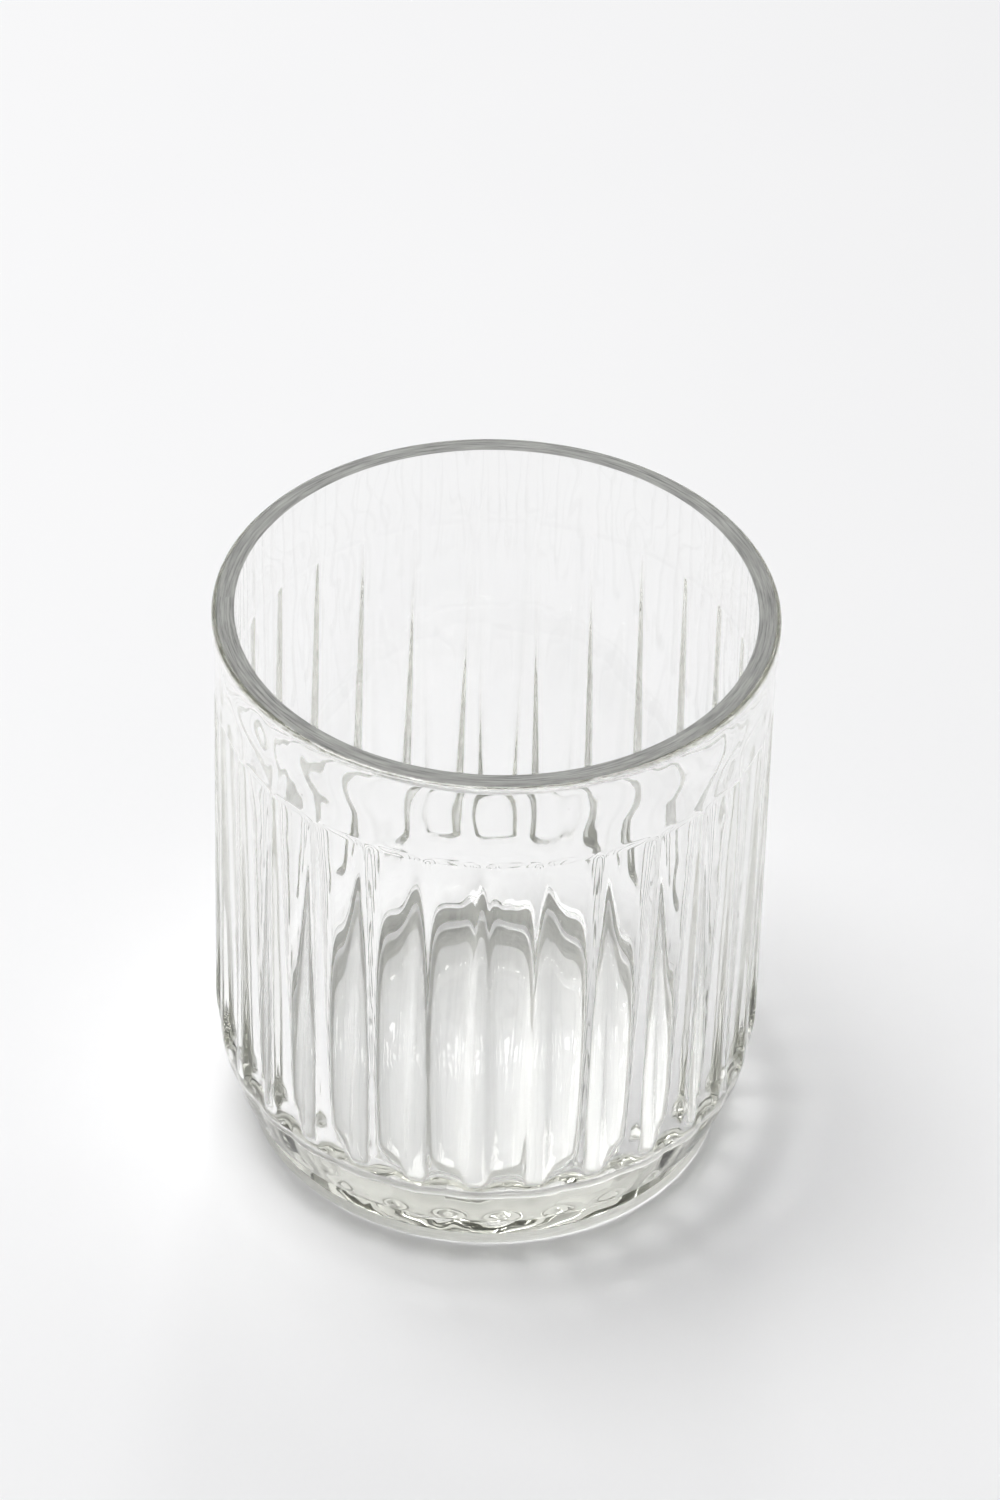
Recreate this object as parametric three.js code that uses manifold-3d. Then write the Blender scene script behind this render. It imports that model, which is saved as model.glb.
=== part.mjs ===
// Fluted drinking tumbler, pressed from one gob of clear glass.
// Millimetres, +Z up. The origin is the centre of the foot, on the table.
// The outside is lofted through scalloped rings, then the bore and the hollow
// under the base are turned out of it.

import * as THREE from 'three';
import { mergeVertices } from 'three/addons/utils/BufferGeometryUtils.js';
import Module from 'manifold-3d';

// Overall outside: an upright wall that flares slightly to the rim
const HEIGHT = 90;
const WALL_RADIUS = 39.6;
const RIM_FLARE = 0.4;
const RIM_FLARE_HEIGHT = 9;
const RIM_EDGE_ROUND = 0.9;

// Bore: its wall is measured from the outside of the plain band
const WALL_THICKNESS = 2.8;
const BORE_DRAFT_DEGREES = 0.5;
const BASE_THICKNESS = 8;
const FLOOR_DISH_RADIUS = 220;
const FLOOR_FILLET = 6;

// Flutes: shallow hollows with flat arched tops and narrow ridges between them.
// On the way down they deepen and the ridges widen.
const FLUTE_COUNT = 29;
const FLUTE_DEPTH = 0.55;
const FLUTE_DEEPENING = 0.85;
const RIDGE_WIDTH = 1.9;
const RIDGE_WIDENING = 0.6;
const PLAIN_BAND_HEIGHT = 13.5;
const FLUTE_END_ROUND = 4;

// Heel: the wall turns in on an arc. There the flutes run out into low lobes
// under the ridges, with a valley between two lobes that fades at the foot.
const HEEL_HEIGHT = 20;
const HEEL_RADIUS = 30;
const FLUTE_FADE_HEIGHT = 5;
const VALLEY_DEPTH = 0.4;
const VALLEY_SHARPNESS = 1.6;
const VALLEY_FADE_HEIGHT = 3;

// Foot: a plain ring stepped in under the heel, with a shallow domed hollow inside it
const FOOT_HEIGHT = 6.5;
const FOOT_INSET = 1.8;
const FOOT_EDGE_ROUND = 1.2;
const BEARING_WIDTH = 4;
const HOLLOW_DEPTH = 1.6;

// Facets
const FLUTE_SPANS = 6;
const HEEL_STEPS = 8;
const ROUND_STEPS = 2;
const TOOL_ARC_STEPS = 3;
const TURNED_SEGMENTS_PER_FLUTE = 3;
const CUT_MARGIN = 1;

const wasm = await Module();
wasm.setup();

const { clamp, degToRad, lerp, smoothstep } = THREE.MathUtils;

// A station is one level of the outside: its plain radius and height, how far
// its surface looks down, and how deep the glass is hollowed there across a
// flute, which runs from -1 at one ridge to 1 at the next.
function station(radius, height, tilt = 0, bite = () => 0) {
  return { radius, height, tilt, bite };
}

// Levels of a quarter round from its foot, on the upright face, to its top.
function quarterRound(radius, centreRadius, centreHeight, direction) {
  return Array.from({ length: ROUND_STEPS + 1 }, (_, step) => {
    const angle = (step / ROUND_STEPS) * (Math.PI / 2);
    const outward = radius * Math.cos(angle);
    const upward = direction * radius * Math.sin(angle);
    return station(centreRadius + outward, centreHeight + upward);
  });
}

function flute(across, depth) {
  return depth * (1 - across * across);
}
function valley(across, depth) {
  return depth * (1 - Math.abs(across)) ** VALLEY_SHARPNESS;
}

// The heel is an arc that leaves the wall upright and turns in below it.
const heelCentreRadius = WALL_RADIUS - HEEL_RADIUS;
const heelEndTilt = Math.asin((HEEL_HEIGHT - FOOT_HEIGHT) / HEEL_RADIUS);
function heelStation(tilt) {
  const radius = heelCentreRadius + HEEL_RADIUS * Math.cos(tilt);
  const height = HEEL_HEIGHT - HEEL_RADIUS * Math.sin(tilt);
  const fluteDepth = FLUTE_DEPTH + FLUTE_DEEPENING;
  const fluteShare = smoothstep(height, HEEL_HEIGHT - FLUTE_FADE_HEIGHT, HEEL_HEIGHT);
  const valleyDepth = VALLEY_DEPTH * smoothstep(height, FOOT_HEIGHT, FOOT_HEIGHT + VALLEY_FADE_HEIGHT);
  return station(radius, height, tilt, (across) =>
    lerp(valley(across, valleyDepth), flute(across, fluteDepth), fluteShare));
}

const footRadius = heelStation(heelEndTilt).radius - FOOT_INSET;

// At its top the hollow lifts out of the wall on a round, so the point where a
// given depth runs out lies this far above the start of the round.
function runOut(depth) {
  return Math.sqrt(2 * FLUTE_END_ROUND * depth - depth * depth);
}
function lift(rise) {
  return FLUTE_END_ROUND - Math.sqrt(FLUTE_END_ROUND ** 2 - rise ** 2);
}

const archTop = HEIGHT - PLAIN_BAND_HEIGHT;
const archFoot = archTop - runOut(FLUTE_DEPTH);

// Levels of the arch, each where one more column of the flute runs out.
function archStations() {
  const half = FLUTE_SPANS / 2;
  return Array.from({ length: half + 1 }, (_, step) => {
    const rise = runOut(flute(1 - step / half, FLUTE_DEPTH));
    return station(WALL_RADIUS, archFoot + rise, 0, (across) =>
      Math.max(0, flute(across, FLUTE_DEPTH) - lift(rise)));
  });
}

// Levels of the heel, from the step over the foot up to the wall.
function heelStations() {
  return Array.from({ length: HEEL_STEPS + 1 }, (_, step) =>
    heelStation(heelEndTilt * (1 - step / HEEL_STEPS)));
}

const rimRadius = WALL_RADIUS + RIM_FLARE;
const outsideLevels = [
  ...quarterRound(FOOT_EDGE_ROUND, footRadius - FOOT_EDGE_ROUND, FOOT_EDGE_ROUND, -1).reverse(),
  station(footRadius, FOOT_HEIGHT),
  ...heelStations(),
  ...archStations(),
  station(WALL_RADIUS, HEIGHT - RIM_FLARE_HEIGHT),
  ...quarterRound(RIM_EDGE_ROUND, rimRadius - RIM_EDGE_ROUND, HEIGHT - RIM_EDGE_ROUND, 1),
];

// A ridge's width at a level, widest from the heel down.
function ridgeWidth(height) {
  const descent = clamp((archTop - height) / (archTop - HEEL_HEIGHT), 0, 1);
  return RIDGE_WIDTH + RIDGE_WIDENING * descent;
}

// One scalloped ring. It has a column on each flute's edges and the rest spread
// evenly between them. A ridge faces the front, on -Y.
const pitch = (2 * Math.PI) / FLUTE_COUNT;
function ring({ radius, height, tilt, bite }) {
  const halfAngle = (pitch - ridgeWidth(height) / WALL_RADIUS) / 2;
  const points = [];
  for (let flute = 0; flute < FLUTE_COUNT; flute += 1) {
    const middle = -Math.PI / 2 + (flute + 0.5) * pitch;
    for (let column = 0; column <= FLUTE_SPANS; column += 1) {
      const across = (2 * column) / FLUTE_SPANS - 1;
      const angle = middle + across * halfAngle;
      const reach = radius - bite(across) * Math.cos(tilt);
      const level = height + bite(across) * Math.sin(tilt);
      points.push(reach * Math.cos(angle), reach * Math.sin(angle), level);
    }
  }
  return points;
}

// Skins the rings from the lowest up and closes both ends with a fan. In each
// flute the diagonals lean towards its middle, along the arch.
function loft(levels) {
  const columns = FLUTE_COUNT * (FLUTE_SPANS + 1);
  const positions = levels.flatMap(ring);
  const bottom = levels.length * columns;
  const top = bottom + 1;
  positions.push(0, 0, levels[0].height, 0, 0, levels.at(-1).height);

  const triangles = [];
  for (let column = 0; column < columns; column += 1) {
    const next = (column + 1) % columns;
    const leansRight = column % (FLUTE_SPANS + 1) < FLUTE_SPANS / 2;
    for (let level = 0; level + 1 < levels.length; level += 1) {
      const low = level * columns;
      const high = low + columns;
      if (leansRight) {
        triangles.push(low + column, low + next, high + next);
        triangles.push(low + column, high + next, high + column);
      } else {
        triangles.push(low + column, low + next, high + column);
        triangles.push(low + next, high + next, high + column);
      }
    }
    const last = (levels.length - 1) * columns;
    triangles.push(bottom, next, column);
    triangles.push(top, last + column, last + next);
  }

  const geometry = new THREE.BufferGeometry();
  geometry.setAttribute('position', new THREE.Float32BufferAttribute(positions, 3));
  geometry.setIndex(triangles);
  return geometry;
}

// A turned tool: an outline of radius and height, revolved about Z.
function turned(outline) {
  return new THREE.LatheGeometry(outline, FLUTE_COUNT * TURNED_SEGMENTS_PER_FLUTE).rotateX(Math.PI / 2);
}

// The bore: a slightly dished floor that a fillet rolls into a wall, which opens
// a little upward.
function boreTool() {
  const draft = Math.tan(degToRad(BORE_DRAFT_DEGREES));
  const mouthRadius = WALL_RADIUS - WALL_THICKNESS;
  const floorRadius = mouthRadius - draft * (HEIGHT - BASE_THICKNESS);
  const fillet = Math.min(FLOOR_FILLET, floorRadius / 2);
  const filletRadius = floorRadius - fillet;
  const dishCentre = BASE_THICKNESS + FLOOR_DISH_RADIUS;
  const filletDrop = Math.sqrt((FLOOR_DISH_RADIUS - fillet) ** 2 - filletRadius ** 2);
  const meeting = Math.atan2(-filletDrop, filletRadius);
  const outline = new THREE.Path();
  outline.moveTo(0, BASE_THICKNESS);
  outline.absarc(0, dishCentre, FLOOR_DISH_RADIUS, -Math.PI / 2, meeting, false);
  outline.absarc(filletRadius, dishCentre - filletDrop, fillet, meeting, 0, false);
  outline.lineTo(mouthRadius + draft * CUT_MARGIN, HEIGHT + CUT_MARGIN);
  outline.lineTo(0, HEIGHT + CUT_MARGIN);
  return turned(outline.getPoints(TOOL_ARC_STEPS));
}

// The hollow under the base: a shallow dome inside the bearing ring.
function hollowTool() {
  const edge = footRadius - FOOT_EDGE_ROUND - BEARING_WIDTH;
  const domeRadius = (edge ** 2 + HOLLOW_DEPTH ** 2) / (2 * HOLLOW_DEPTH);
  const domeCentre = HOLLOW_DEPTH - domeRadius;
  const lowest = Math.asin((-CUT_MARGIN - domeCentre) / domeRadius);
  const outline = new THREE.Path();
  outline.moveTo(0, -CUT_MARGIN);
  outline.lineTo(domeRadius * Math.cos(lowest), -CUT_MARGIN);
  outline.absarc(0, domeCentre, domeRadius, lowest, Math.PI / 2, false);
  return turned(outline.getPoints(TOOL_ARC_STEPS));
}

// A closed geometry as a solid: shared corners merged, flat triangles dropped.
function solid(geometry) {
  geometry.deleteAttribute('normal');
  geometry.deleteAttribute('uv');
  const merged = mergeVertices(geometry);
  const corners = Array.from(merged.index.array);
  const triVerts = [];
  for (let first = 0; first < corners.length; first += 3) {
    const [a, b, c] = corners.slice(first, first + 3);
    if (a !== b && b !== c && c !== a) triVerts.push(a, b, c);
  }
  return new wasm.Manifold(new wasm.Mesh({
    numProp: 3,
    vertProperties: new Float32Array(merged.attributes.position.array),
    triVerts: new Uint32Array(triVerts),
  }));
}

function geometryOf(body) {
  const mesh = body.getMesh();
  const geometry = new THREE.BufferGeometry();
  geometry.setAttribute('position', new THREE.BufferAttribute(mesh.vertProperties, 3));
  geometry.setIndex(new THREE.BufferAttribute(mesh.triVerts, 1));
  geometry.computeVertexNormals();
  return geometry;
}

// Clear glass with a faint grey-green cast
const clearGlass = new THREE.MeshStandardMaterial({
  color: 0xdfe3dc,
  roughness: 0.04,
  metalness: 0,
  transparent: true,
  opacity: 0.35,
});

const glassBody = solid(loft(outsideLevels)).subtract(solid(boreTool())).subtract(solid(hollowTool()));
const glass = new THREE.Mesh(geometryOf(glassBody), clearGlass);
glass.name = 'tumbler_glass';

const tumbler = new THREE.Group();
tumbler.add(glass);

export default tumbler;
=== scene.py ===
import math

import bpy
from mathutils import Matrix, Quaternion, Vector


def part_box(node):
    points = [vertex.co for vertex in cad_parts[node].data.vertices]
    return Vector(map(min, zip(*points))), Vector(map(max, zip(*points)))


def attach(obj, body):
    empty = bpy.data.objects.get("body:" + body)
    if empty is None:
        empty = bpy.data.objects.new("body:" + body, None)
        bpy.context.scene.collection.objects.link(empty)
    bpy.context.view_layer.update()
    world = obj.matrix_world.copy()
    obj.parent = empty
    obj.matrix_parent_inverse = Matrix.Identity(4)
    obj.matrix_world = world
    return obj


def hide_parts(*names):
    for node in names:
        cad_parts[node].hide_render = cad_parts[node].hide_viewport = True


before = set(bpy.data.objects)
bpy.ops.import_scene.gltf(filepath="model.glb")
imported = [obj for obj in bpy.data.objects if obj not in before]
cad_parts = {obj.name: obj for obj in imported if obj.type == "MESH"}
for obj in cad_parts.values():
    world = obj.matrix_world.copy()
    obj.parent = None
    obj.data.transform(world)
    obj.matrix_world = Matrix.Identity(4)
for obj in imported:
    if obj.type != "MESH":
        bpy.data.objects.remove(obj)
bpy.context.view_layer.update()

# The glass body.
# One gob of clear soda-lime glass, pressed into a mould that leaves arched upright
# flutes and a lobed heel outside, while a plunger forms the smooth bore inside.
MM = 0.001
low_corner, high_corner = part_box("tumbler_glass")
HEIGHT = high_corner.z
RIM_RADIUS = min(high_corner.x, high_corner.y, -low_corner.x, -low_corner.y)
RIM_FLARE = 0.4 * MM
RIM_FLARE_HEIGHT = 9 * MM
RIM_EDGE_ROUND = 0.9 * MM
WALL_RADIUS = RIM_RADIUS - RIM_FLARE
WALL_THICKNESS = 2.8 * MM
BORE_DRAFT = math.tan(math.radians(0.5))
BASE_THICKNESS = 8 * MM
FLOOR_DISH_RADIUS = 220 * MM
FLOOR_FILLET = 6 * MM

FLUTE_COUNT = 29
FLUTE_PITCH = 2 * math.pi / FLUTE_COUNT
FLUTE_DEPTH_AT_ARCH = 0.34 * MM
FLUTE_DEPTH_AT_HEEL = 1.6 * MM
FLUTE_FLATNESS_AT_ARCH = 4.5
FLUTE_FLATNESS_AT_HEEL = 2.4
RIDGE_WIDTH_AT_ARCH = 0.8 * MM
RIDGE_WIDTH_AT_HEEL = 2.4 * MM
RIDGE_SOFTNESS = 0.2
PLAIN_BAND_HEIGHT = 13.5 * MM
ARCH_END_ROUND = 2 * MM
ARCH_END_REACH = 0.9 * ARCH_END_ROUND

HEEL_HEIGHT = 20 * MM
HEEL_RADIUS = 30 * MM
FLUTE_RUN_OUT_HEIGHT = 5 * MM
VALLEY_DEPTH = 0.4 * MM
VALLEY_SHARPNESS = 1.6
VALLEY_ROUND = 0.05
VALLEY_FADE_HEIGHT = 3 * MM
FOOT_HEIGHT = 6.5 * MM
FOOT_INSET = 1.8 * MM
FOOT_EDGE_ROUND = 1.2 * MM
BEARING_WIDTH = 4 * MM
HOLLOW_DEPTH = 1.6 * MM
COLUMNS_PER_FLUTE = 24
MERGE_DISTANCE = 0.01 * MM
SMOOTH_BELOW = math.radians(40)


def arc(centre_r, centre_z, radius, start, end, steps):
    """Outline points of a round, from one angle to another in degrees."""
    points = []
    for step in range(steps + 1):
        angle = math.radians(start + (end - start) * step / steps)
        points.append((centre_r + radius * math.cos(angle), centre_z + radius * math.sin(angle)))
    return points


def straight(start, end, steps):
    """Outline points along a straight line, without its first one."""
    points = []
    for step in range(1, steps + 1):
        share = step / steps
        radius = start[0] + (end[0] - start[0]) * share
        height = start[1] + (end[1] - start[1]) * share
        points.append((radius, height))
    return points


def ease(value, low, high):
    """A share from 0 at low to 1 at high that starts and ends gently."""
    share = min(1, max(0, (value - low) / (high - low)))
    return share * share * (3 - 2 * share)


def turn_outline(name, points):
    """Draws an outline at the front by extruding a corner, then turns it through one flute."""
    bpy.ops.object.select_all(action="DESELECT")
    bpy.ops.mesh.primitive_plane_add(size=MM)
    piece = bpy.context.active_object
    piece.name = name
    bpy.ops.object.mode_set(mode="EDIT")
    bpy.ops.mesh.select_all(action="SELECT")
    bpy.ops.mesh.merge(type="CENTER")
    bpy.ops.transform.translate(value=(0, -points[0][0], points[0][1]))
    for (r0, z0), (r1, z1) in zip(points, points[1:]):
        bpy.ops.mesh.extrude_region_move(TRANSFORM_OT_translate={"value": (0, r0 - r1, z1 - z0)})
    bpy.ops.mesh.select_all(action="SELECT")
    bpy.ops.mesh.spin(steps=COLUMNS_PER_FLUTE, angle=FLUTE_PITCH, center=(0, 0, 0), axis=(0, 0, 1))
    bpy.ops.object.mode_set(mode="OBJECT")
    return piece


# The outer skin.
# The mould's side of the wall, from the foot's edge over the heel and up to the rim:
# flutes that start in flat arches, deepen downwards and run out into the heel's lobes.
heel_centre = WALL_RADIUS - HEEL_RADIUS
heel_end_tilt = math.asin((HEEL_HEIGHT - FOOT_HEIGHT) / HEEL_RADIUS)
foot_radius = heel_centre + HEEL_RADIUS * math.cos(heel_end_tilt) - FOOT_INSET
arch_top = HEIGHT - PLAIN_BAND_HEIGHT
arch_run = math.sqrt(2 * ARCH_END_ROUND * FLUTE_DEPTH_AT_ARCH - FLUTE_DEPTH_AT_ARCH ** 2)
arch_foot = arch_top - arch_run
flare_foot = HEIGHT - RIM_FLARE_HEIGHT
edge_centre = HEIGHT - RIM_EDGE_ROUND

skin_outline = arc(foot_radius - FOOT_EDGE_ROUND, FOOT_EDGE_ROUND, FOOT_EDGE_ROUND, -90, 0, 4)
skin_outline += straight(skin_outline[-1], (foot_radius, FOOT_HEIGHT), 2)
skin_outline += arc(heel_centre, HEEL_HEIGHT, HEEL_RADIUS, -math.degrees(heel_end_tilt), 0, 30)
skin_outline += straight(skin_outline[-1], (WALL_RADIUS, arch_foot - 1 * MM), 14)
skin_outline += straight(skin_outline[-1], (WALL_RADIUS, arch_top + 1 * MM), 22)
skin_outline += straight(skin_outline[-1], (WALL_RADIUS, flare_foot), 2)
for step in range(1, 8):
    height = flare_foot + (edge_centre - flare_foot) * step / 8
    skin_outline.append((WALL_RADIUS + RIM_FLARE * ease(height, flare_foot, edge_centre), height))
skin_outline += arc(RIM_RADIUS - RIM_EDGE_ROUND, edge_centre, RIM_EDGE_ROUND, 0, 90, 6)


def arch_rise(height):
    """How far a flute's hollow has risen out of the wall on its way to the arched top."""
    above = min(max(0, height - arch_foot), ARCH_END_REACH)
    if above < ARCH_END_REACH:
        return ARCH_END_ROUND - math.sqrt(ARCH_END_ROUND ** 2 - above ** 2)
    return ARCH_END_ROUND


def skin_depth(angle, height):
    """How deep the mould's flutes, and below them the heel's valleys, lie under the plain skin."""
    if height <= FOOT_HEIGHT + 0.001 * MM:
        return 0
    from_middle = abs((angle + math.pi / 2) % FLUTE_PITCH - FLUTE_PITCH / 2)
    level = min(1, max(0, (height - HEEL_HEIGHT) / (arch_top - HEEL_HEIGHT)))
    deep = FLUTE_DEPTH_AT_HEEL + (FLUTE_DEPTH_AT_ARCH - FLUTE_DEPTH_AT_HEEL) * level
    ridge = RIDGE_WIDTH_AT_HEEL + (RIDGE_WIDTH_AT_ARCH - RIDGE_WIDTH_AT_HEEL) * level
    flatness = FLUTE_FLATNESS_AT_HEEL + (FLUTE_FLATNESS_AT_ARCH - FLUTE_FLATNESS_AT_HEEL) * level
    across = from_middle / ((FLUTE_PITCH - ridge / WALL_RADIUS) / 2)
    hollow = deep * (1 - across ** flatness) - arch_rise(height)
    softness = RIDGE_SOFTNESS * deep
    flute = (hollow + math.sqrt(hollow * hollow + softness * softness)) / 2
    to_ridge = math.hypot(2 * from_middle / FLUTE_PITCH, VALLEY_ROUND)
    valley = VALLEY_DEPTH * max(0, 1 - to_ridge) ** VALLEY_SHARPNESS
    valley *= ease(height, FOOT_HEIGHT, FOOT_HEIGHT + VALLEY_FADE_HEIGHT)
    return valley + (flute - valley) * ease(height, HEEL_HEIGHT - FLUTE_RUN_OUT_HEIGHT, HEEL_HEIGHT)


tumbler = turn_outline("tumbler", skin_outline)
for vertex in tumbler.data.vertices:
    radius = math.hypot(vertex.co.x, vertex.co.y)
    angle = math.atan2(vertex.co.y, vertex.co.x)
    depth = skin_depth(angle, vertex.co.z)
    tilt = math.asin(max(0, HEEL_HEIGHT - vertex.co.z) / HEEL_RADIUS)
    radius -= depth * math.cos(tilt)
    height = vertex.co.z + depth * math.sin(tilt)
    vertex.co = (radius * math.cos(angle), radius * math.sin(angle), height)

# The bore and the underside.
# The plunger's side, with a dished floor rolled into the wall, and the shallow hollow
# under the base that leaves a narrow ring to stand on.
mouth_radius = WALL_RADIUS - WALL_THICKNESS
floor_radius = mouth_radius - BORE_DRAFT * (HEIGHT - BASE_THICKNESS)
dish_centre = BASE_THICKNESS + FLOOR_DISH_RADIUS
fillet_r = floor_radius - FLOOR_FILLET
fillet_z = dish_centre - math.sqrt((FLOOR_DISH_RADIUS - FLOOR_FILLET) ** 2 - fillet_r ** 2)
meeting = math.degrees(math.atan2(fillet_z - dish_centre, fillet_r))

bore_outline = [skin_outline[-1]]
bore_outline += straight(skin_outline[-1], (mouth_radius, HEIGHT), 3)
bore_outline += straight((mouth_radius, HEIGHT), (floor_radius, fillet_z), 14)
bore_outline += arc(fillet_r, fillet_z, FLOOR_FILLET, 0, meeting, 14)[1:]
bore_outline += arc(0, dish_centre, FLOOR_DISH_RADIUS, meeting, -90, 12)[1:]

hollow_radius = foot_radius - FOOT_EDGE_ROUND - BEARING_WIDTH
under_outline = []
for step in range(10):
    share = step / 9
    under_outline.append((hollow_radius * share, HOLLOW_DEPTH * (1 - share * share)))
under_outline += straight(under_outline[-1], skin_outline[0], 2)

bore = turn_outline("bore", bore_outline)
underside = turn_outline("underside", under_outline)
bpy.ops.object.select_all(action="DESELECT")
for part in (underside, bore, tumbler):
    part.select_set(True)
bpy.context.view_layer.objects.active = tumbler
bpy.ops.object.join()
bpy.ops.object.mode_set(mode="EDIT")
bpy.ops.mesh.select_all(action="SELECT")
others = FLUTE_COUNT - 1
round_the_axis = FLUTE_PITCH * others
bpy.ops.mesh.spin(steps=others, dupli=True, angle=round_the_axis, center=(0, 0, 0), axis=(0, 0, 1))
bpy.ops.mesh.select_all(action="SELECT")
bpy.ops.mesh.remove_doubles(threshold=MERGE_DISTANCE)
bpy.ops.mesh.normals_make_consistent(inside=False)
bpy.ops.object.mode_set(mode="OBJECT")
bpy.ops.object.shade_smooth_by_angle(angle=SMOOTH_BELOW)

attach(tumbler, "root")
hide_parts("tumbler_glass")

# The clear glass.
# Fire-polished soda-lime glass with a faint warm grey cast where light runs far in it:
# pressing leaves slow ripples in the skin, and a few specks of dust and a film lie on it.
GLASS_IOR = 1.51
GLASS_CAST = (0.725, 0.73, 0.655, 1)
GLASS_CAST_DENSITY = 16
RIPPLE_HEIGHT = 0.32 * MM
RIPPLES_PER_METRE = 75
RIPPLE_STRETCH = 0.45
RIPPLE_DETAIL = 1.5
RIPPLE_TWIST = 0.6
FILM_ROUGHNESS = 0.02
FILM_PATCHES_PER_METRE = 60
SPECKS_PER_METRE = 260
SPECK_SIZE = 0.055
BARE_SHARE = 0.93
DUST_TONE = (0.35, 0.34, 0.32, 1)


def new_material(name):
    """A material with a Principled shader, and its node and link lists."""
    material = bpy.data.materials.new(name)
    material.use_nodes = True
    tree = material.node_tree
    return material, tree.nodes, tree.links, tree.nodes["Principled BSDF"]


def remap(nodes, links, source, from_low, from_high, to_low, to_high):
    """A node that maps one range of a value onto another, and its result."""
    node = nodes.new("ShaderNodeMapRange")
    node.inputs["From Min"].default_value = from_low
    node.inputs["From Max"].default_value = from_high
    node.inputs["To Min"].default_value = to_low
    node.inputs["To Max"].default_value = to_high
    links.new(source, node.inputs["Value"])
    return node.outputs["Result"]


clear_glass, nodes, links, shader = new_material("clear_glass")
shader.inputs["IOR"].default_value = GLASS_IOR
shader.inputs["Transmission Weight"].default_value = 1.0
place = nodes.new("ShaderNodeTexCoord")
stretch = nodes.new("ShaderNodeMapping")
stretch.inputs["Scale"].default_value = (1, 1, RIPPLE_STRETCH)
links.new(place.outputs["Object"], stretch.inputs["Vector"])
ripple = nodes.new("ShaderNodeTexNoise")
ripple.inputs["Scale"].default_value = RIPPLES_PER_METRE
ripple.inputs["Detail"].default_value = RIPPLE_DETAIL
ripple.inputs["Roughness"].default_value = 0.45
ripple.inputs["Distortion"].default_value = RIPPLE_TWIST
links.new(stretch.outputs["Vector"], ripple.inputs["Vector"])
swell = nodes.new("ShaderNodeBump")
swell.inputs["Strength"].default_value = 1.0
swell.inputs["Distance"].default_value = RIPPLE_HEIGHT
links.new(ripple.outputs["Fac"], swell.inputs["Height"])
links.new(swell.outputs["Normal"], shader.inputs["Normal"])
film = nodes.new("ShaderNodeTexNoise")
film.inputs["Scale"].default_value = FILM_PATCHES_PER_METRE
film.inputs["Detail"].default_value = 5
links.new(place.outputs["Object"], film.inputs["Vector"])
film_roughness = remap(nodes, links, film.outputs["Fac"], 0.55, 0.75, 0.0, FILM_ROUGHNESS)
links.new(film_roughness, shader.inputs["Roughness"])
speck = nodes.new("ShaderNodeTexVoronoi")
speck.inputs["Scale"].default_value = SPECKS_PER_METRE
links.new(place.outputs["Object"], speck.inputs["Vector"])
cell = nodes.new("ShaderNodeSeparateColor")
links.new(speck.outputs["Color"], cell.inputs["Color"])
reach = remap(nodes, links, cell.outputs["Red"], BARE_SHARE, 1.0, 0.0, SPECK_SIZE)
dusty = nodes.new("ShaderNodeMath")
dusty.operation = "LESS_THAN"
links.new(speck.outputs["Distance"], dusty.inputs[0])
links.new(reach, dusty.inputs[1])
dust = nodes.new("ShaderNodeMix")
dust.data_type = "RGBA"
dust.inputs["A"].default_value = (1, 1, 1, 1)
dust.inputs["B"].default_value = DUST_TONE
links.new(dusty.outputs["Value"], dust.inputs["Factor"])
links.new(dust.outputs["Result"], shader.inputs["Base Color"])
cast = nodes.new("ShaderNodeVolumeAbsorption")
cast.inputs["Color"].default_value = GLASS_CAST
cast.inputs["Density"].default_value = GLASS_CAST_DENSITY
links.new(cast.outputs["Volume"], nodes["Material Output"].inputs["Volume"])
tumbler.data.materials.append(clear_glass)

# The ground rim.
# The mouth is cut off and ground flat on a wheel, which leaves a matt grey band with
# fine scratches that follow the ring, and no polish. The band's dark tone is painted
# shade, for the dim bore and ceiling that the rim faces.
# Painted shade: the rim's base colour runs from near black to mid grey, far darker than lit ground
# glass; the grain between the two tones is the scratches.
RIM_GRAIN_AND_SHADE_DARK = (0.04, 0.041, 0.038, 1)
RIM_GRAIN_AND_SHADE_PALE = (0.42, 0.425, 0.40, 1)
RIM_CLARITY = 0.25
SCRATCH_WIDTH = 0.28 * MM
SCRATCH_LENGTH = 7 * MM
RIM_REACH = 0.05 * MM
FACING = 0.9


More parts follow.
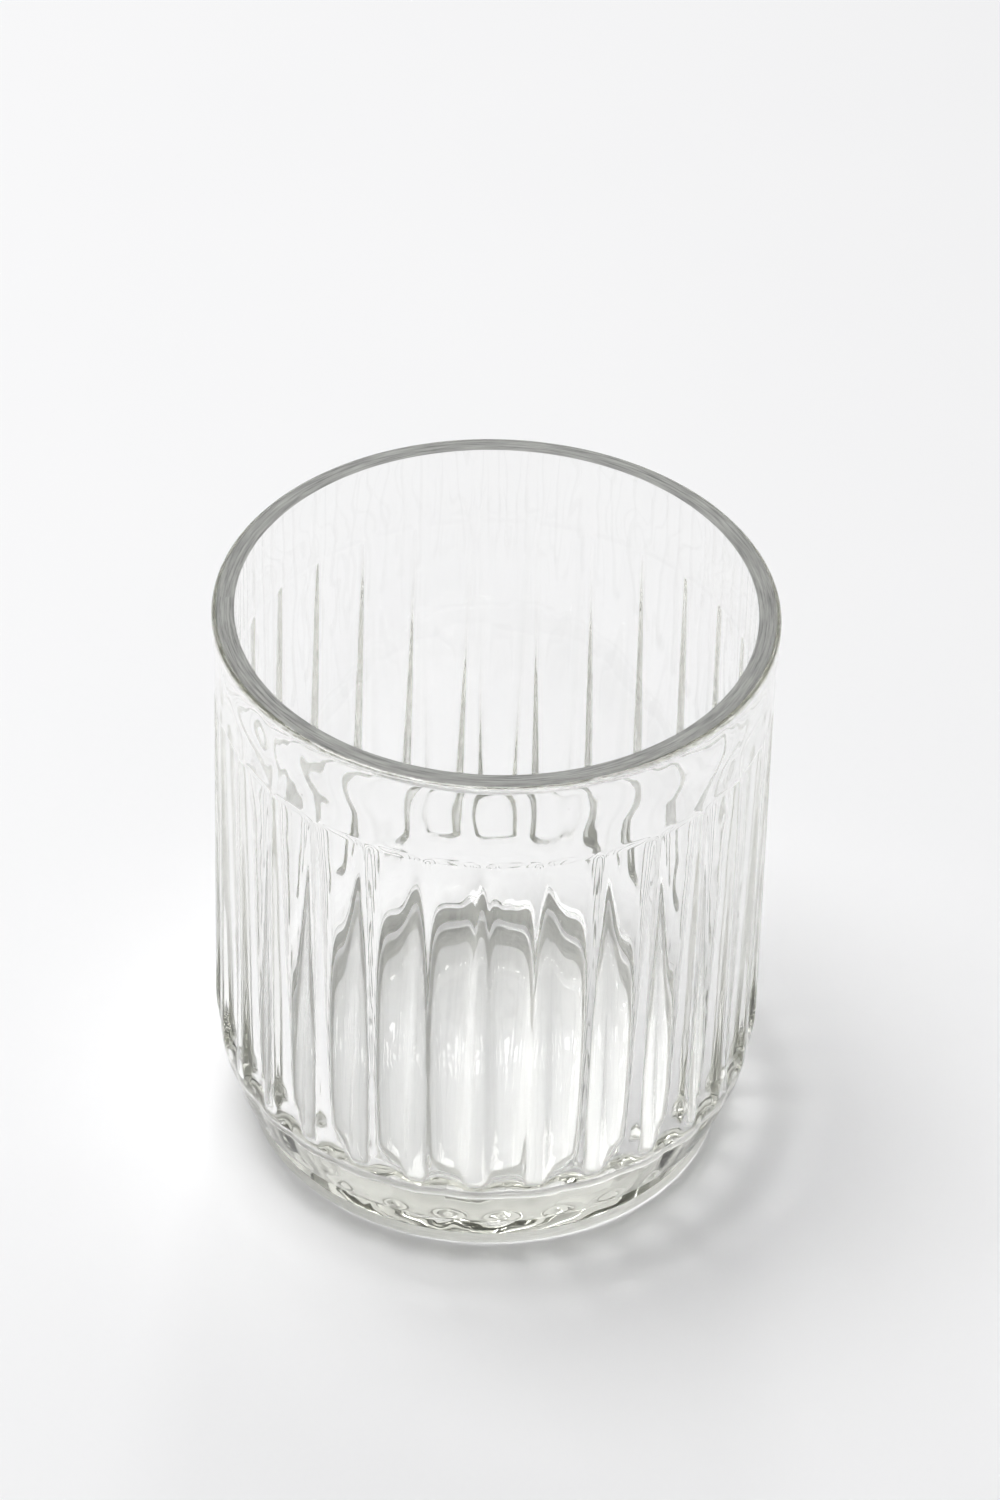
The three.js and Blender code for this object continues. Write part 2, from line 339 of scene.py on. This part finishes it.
def ring_grain(nodes, links, width, length):
    """Noise drawn out along circles about the glass's axis, as grinding leaves it."""
    place = nodes.new("ShaderNodeTexCoord")
    axes = nodes.new("ShaderNodeSeparateXYZ")
    links.new(place.outputs["Object"], axes.inputs["Vector"])
    flat = nodes.new("ShaderNodeCombineXYZ")
    links.new(axes.outputs["X"], flat.inputs["X"])
    links.new(axes.outputs["Y"], flat.inputs["Y"])
    radius = nodes.new("ShaderNodeVectorMath")
    radius.operation = "LENGTH"
    links.new(flat.outputs["Vector"], radius.inputs[0])
    angle = nodes.new("ShaderNodeMath")
    angle.operation = "ARCTAN2"
    links.new(axes.outputs["Y"], angle.inputs[0])
    links.new(axes.outputs["X"], angle.inputs[1])
    lines = nodes.new("ShaderNodeMath")
    lines.operation = "DIVIDE"
    lines.inputs[1].default_value = width
    links.new(radius.outputs["Value"], lines.inputs[0])
    along = nodes.new("ShaderNodeMath")
    along.operation = "MULTIPLY"
    along.inputs[1].default_value = RIM_RADIUS / length
    links.new(angle.outputs["Value"], along.inputs[0])
    unrolled = nodes.new("ShaderNodeCombineXYZ")
    links.new(lines.outputs["Value"], unrolled.inputs["X"])
    links.new(along.outputs["Value"], unrolled.inputs["Y"])
    grain = nodes.new("ShaderNodeTexNoise")
    grain.inputs["Scale"].default_value = 1.0
    grain.inputs["Detail"].default_value = 4
    grain.inputs["Roughness"].default_value = 0.65
    links.new(unrolled.outputs["Vector"], grain.inputs["Vector"])
    return grain.outputs["Fac"]


def matt_glass(name, dark, pale, clarity, width, length):
    """Glass worn or ground matt, with a grain of scratches that runs round the axis, on a base
    colour painted with shade between the dark and pale tones.
    """
    material, nodes, links, shader = new_material(name)
    shader.inputs["IOR"].default_value = GLASS_IOR
    shader.inputs["Transmission Weight"].default_value = clarity
    grain = ring_grain(nodes, links, width, length)
    tone = nodes.new("ShaderNodeMix")
    tone.data_type = "RGBA"
    tone.inputs["A"].default_value = dark
    tone.inputs["B"].default_value = pale
    links.new(remap(nodes, links, grain, 0.3, 0.7, 0.0, 1.0), tone.inputs["Factor"])
    links.new(tone.outputs["Result"], shader.inputs["Base Color"])
    links.new(remap(nodes, links, grain, 0.3, 0.7, 0.35, 0.6), shader.inputs["Roughness"])
    scored = nodes.new("ShaderNodeBump")
    scored.inputs["Strength"].default_value = 0.6
    scored.inputs["Distance"].default_value = width / 4
    links.new(grain, scored.inputs["Height"])
    links.new(scored.outputs["Normal"], shader.inputs["Normal"])
    return material


tumbler.data.materials.append(
    matt_glass("ground_rim_and_shade", RIM_GRAIN_AND_SHADE_DARK, RIM_GRAIN_AND_SHADE_PALE, RIM_CLARITY, SCRATCH_WIDTH, SCRATCH_LENGTH))
for face in tumbler.data.polygons:
    if face.center.z > HEIGHT - RIM_REACH and face.normal.z > FACING:
        face.material_index = 1

# The standing ring.
# The narrow ring under the foot that touches the table, scuffed dull by use. Its grey tone
# is painted shade for the contact shadow under the foot, and seen from above it shows
# through the base as a soft grey band.
# Painted shade: these tones grey the ring to stand in for the contact shadow where it meets the
# table; the grain between them is scuffing.
SCUFF_AND_CONTACT_SHADE_DARK = (0.70, 0.70, 0.68, 1)
SCUFF_AND_CONTACT_SHADE_PALE = (0.95, 0.95, 0.935, 1)
SCUFF_CLARITY = 0.3
SCUFF_WIDTH = 0.6 * MM
SCUFF_LENGTH = 5 * MM
RING_REACH = 0.02 * MM
tumbler.data.materials.append(
    matt_glass("scuffed_foot_contact_shade", SCUFF_AND_CONTACT_SHADE_DARK, SCUFF_AND_CONTACT_SHADE_PALE, SCUFF_CLARITY, SCUFF_WIDTH, SCUFF_LENGTH))
for face in tumbler.data.polygons:
    if face.center.z < RING_REACH and face.normal.z < -FACING:
        face.material_index = 2

# The table.
# A smooth pale board under the glass, faintly mottled, that runs on out of the picture.
# It lies a hair below the foot, because where they coincide they render as a black line.
TABLE_SIZE = 8
TABLE_GAP = 0.05 * MM
TABLE_PALE = (0.90, 0.90, 0.905, 1)
TABLE_DULL = (0.86, 0.86, 0.87, 1)
TABLE_GLOW = 0.12
TABLE_ROUGHNESS = 0.9
MOTTLES_PER_METRE = 9
bpy.ops.object.select_all(action="DESELECT")
bpy.ops.mesh.primitive_plane_add(size=TABLE_SIZE, location=(0, 0, -TABLE_GAP))
table = bpy.context.active_object
table.name = "table"
pale_board, nodes, links, shader = new_material("pale_board")
shader.inputs["Roughness"].default_value = TABLE_ROUGHNESS
shader.inputs["Specular IOR Level"].default_value = 0.0
place = nodes.new("ShaderNodeTexCoord")
mottle = nodes.new("ShaderNodeTexNoise")
mottle.inputs["Scale"].default_value = MOTTLES_PER_METRE
mottle.inputs["Detail"].default_value = 6
links.new(place.outputs["Object"], mottle.inputs["Vector"])
tone = nodes.new("ShaderNodeMix")
tone.data_type = "RGBA"
tone.inputs["A"].default_value = TABLE_DULL
tone.inputs["B"].default_value = TABLE_PALE
links.new(mottle.outputs["Fac"], tone.inputs["Factor"])
links.new(tone.outputs["Result"], shader.inputs["Base Color"])
ray = nodes.new("ShaderNodeLightPath")
seen = nodes.new("ShaderNodeMath")
seen.operation = "MAXIMUM"
links.new(ray.outputs["Is Camera Ray"], seen.inputs[0])
links.new(ray.outputs["Is Glossy Ray"], seen.inputs[1])
seen_through = nodes.new("ShaderNodeMath")
seen_through.operation = "MAXIMUM"
links.new(seen.outputs["Value"], seen_through.inputs[0])
links.new(ray.outputs["Is Transmission Ray"], seen_through.inputs[1])
share = nodes.new("ShaderNodeMath")
share.operation = "MULTIPLY"
share.inputs[1].default_value = TABLE_GLOW
links.new(seen_through.outputs["Value"], share.inputs[0])
white = nodes.new("ShaderNodeEmission")
white.inputs["Strength"].default_value = 1.0
lit_and_white = nodes.new("ShaderNodeMixShader")
links.new(share.outputs["Value"], lit_and_white.inputs["Fac"])
links.new(shader.outputs["BSDF"], lit_and_white.inputs[1])
links.new(white.outputs["Emission"], lit_and_white.inputs[2])
links.new(lit_and_white.outputs["Shader"], nodes["Material Output"].inputs["Surface"])
table.data.materials.append(pale_board)

# The room.
# A pale wall behind the table and a dim room at the other sides, which is what the
# glass bends into its bright and dark streaks.
WALL_BEHIND = 1.1
ROOM_IN_FRONT = 0.2
ROOM_AT_LEFT = 0.03
ROOM_AT_RIGHT = 0.03
ROOM_ABOVE = 0.2
SIDE_STARTS = 0.25
SIDE_FULL = 0.85
CEILING_STARTS = 0.72
CEILING_FULL = 0.9
room = bpy.data.worlds.new("pale_room")
bpy.context.scene.world = room
room.use_nodes = True
nodes = room.node_tree.nodes
links = room.node_tree.links
view = nodes.new("ShaderNodeTexCoord")
way = nodes.new("ShaderNodeSeparateXYZ")
links.new(view.outputs["Generated"], way.inputs["Vector"])
front_to_back = remap(nodes, links, way.outputs["Y"], -0.5, 0.6, ROOM_IN_FRONT, WALL_BEHIND)
left_side = remap(nodes, links, way.outputs["X"], -SIDE_FULL, -SIDE_STARTS, ROOM_AT_LEFT, 1.0)
right_side = remap(nodes, links, way.outputs["X"], SIDE_STARTS, SIDE_FULL, 1.0, ROOM_AT_RIGHT)
sides = nodes.new("ShaderNodeMath")
sides.operation = "MULTIPLY"
links.new(left_side, sides.inputs[0])
links.new(right_side, sides.inputs[1])
around = nodes.new("ShaderNodeMath")
around.operation = "MULTIPLY"
links.new(front_to_back, around.inputs[0])
links.new(sides.outputs["Value"], around.inputs[1])
overhead = nodes.new("ShaderNodeMix")
overhead.data_type = "FLOAT"
overhead.inputs["B"].default_value = ROOM_ABOVE
ceiling_share = remap(nodes, links, way.outputs["Z"], CEILING_STARTS, CEILING_FULL, 0.0, 1.0)
links.new(ceiling_share, overhead.inputs["Factor"])
links.new(around.outputs["Value"], overhead.inputs["A"])
links.new(overhead.outputs["Result"], nodes["Background"].inputs["Strength"])
nodes["Background"].inputs["Color"].default_value = (1, 1, 1, 1)

# The lamps.
# A soft box above, a little to the left, lights the table and the floor of the glass, and
# a narrow strip behind gives the row of small highlights on the floor inside.
SOFT_BOX_SIZE = 0.6
SOFT_BOX_POWER = 9.7
SOFT_BOX_PLACE = (-0.3, 0.1, 1.1)
STRIP_WIDTH = 0.16
STRIP_HEIGHT = 0.045
STRIP_POWER = 1.2
STRIP_DISTANCE = 1.2
STRIP_ELEVATION = math.radians(42)
LAMP_AIM = Vector((0, 0, 20 * MM))


def hang_lamp(name, place, width, height, power):
    """A rectangular lamp that faces the glass."""
    lamp_data = bpy.data.lights.new(name, "AREA")
    lamp_data.shape = "RECTANGLE"
    lamp_data.size = width
    lamp_data.size_y = height
    lamp_data.energy = power
    lamp = bpy.data.objects.new(name, lamp_data)
    bpy.context.scene.collection.objects.link(lamp)
    lamp.location = place
    lamp.rotation_mode = "QUATERNION"
    lamp.rotation_quaternion = (LAMP_AIM - lamp.location).to_track_quat("-Z", "Y")


hang_lamp("soft_box", SOFT_BOX_PLACE, SOFT_BOX_SIZE, SOFT_BOX_SIZE, SOFT_BOX_POWER)
strip_back = STRIP_DISTANCE * math.cos(STRIP_ELEVATION)
strip_place = (0, strip_back, STRIP_DISTANCE * math.sin(STRIP_ELEVATION))
hang_lamp("strip", strip_place, STRIP_WIDTH, STRIP_HEIGHT, STRIP_POWER)

# The camera.
# It looks down on the glass from the front with a long lens, as in the photograph.
CAMERA_DISTANCE = 0.99
CAMERA_AZIMUTH = math.radians(1.2)
CAMERA_ELEVATION = math.radians(38.18)
CAMERA_ROLL = 0.028
AIM_DROP = 19.9 * MM
AIM_SIDE = 1.0 * MM
LENS = 169.6
SENSOR_WIDTH = 36
camera_data = bpy.data.cameras.new("camera")
camera_data.lens = LENS
camera_data.sensor_width = SENSOR_WIDTH
camera = bpy.data.objects.new("camera", camera_data)
bpy.context.scene.collection.objects.link(camera)
rim_centre = Vector((0, 0, HEIGHT))
away = Vector((
    math.sin(CAMERA_AZIMUTH) * math.cos(CAMERA_ELEVATION),
    -math.cos(CAMERA_AZIMUTH) * math.cos(CAMERA_ELEVATION),
    math.sin(CAMERA_ELEVATION),
))
camera.location = rim_centre + away * CAMERA_DISTANCE
sideways = Vector((math.cos(CAMERA_AZIMUTH), math.sin(CAMERA_AZIMUTH), 0))
aim = rim_centre - away.cross(sideways) * AIM_DROP + sideways * AIM_SIDE
camera.rotation_mode = "QUATERNION"
upright = (aim - camera.location).to_track_quat("-Z", "Y")
camera.rotation_quaternion = upright @ Quaternion((0, 0, 1), CAMERA_ROLL)
bpy.context.scene.camera = camera

# The picture.
# Light runs through many walls of glass before it reaches the table or the eye, so
# paths are long, and the glossy filter that would dim light under the glass is off.
bpy.context.scene.view_settings.view_transform = "Standard"
WALLS_PASSED = 40
WALLS_MIRRORED = 32
light_paths = bpy.context.scene.cycles
light_paths.max_bounces = WALLS_PASSED
light_paths.glossy_bounces = WALLS_MIRRORED
light_paths.transmission_bounces = WALLS_PASSED
light_paths.blur_glossy = 0.0
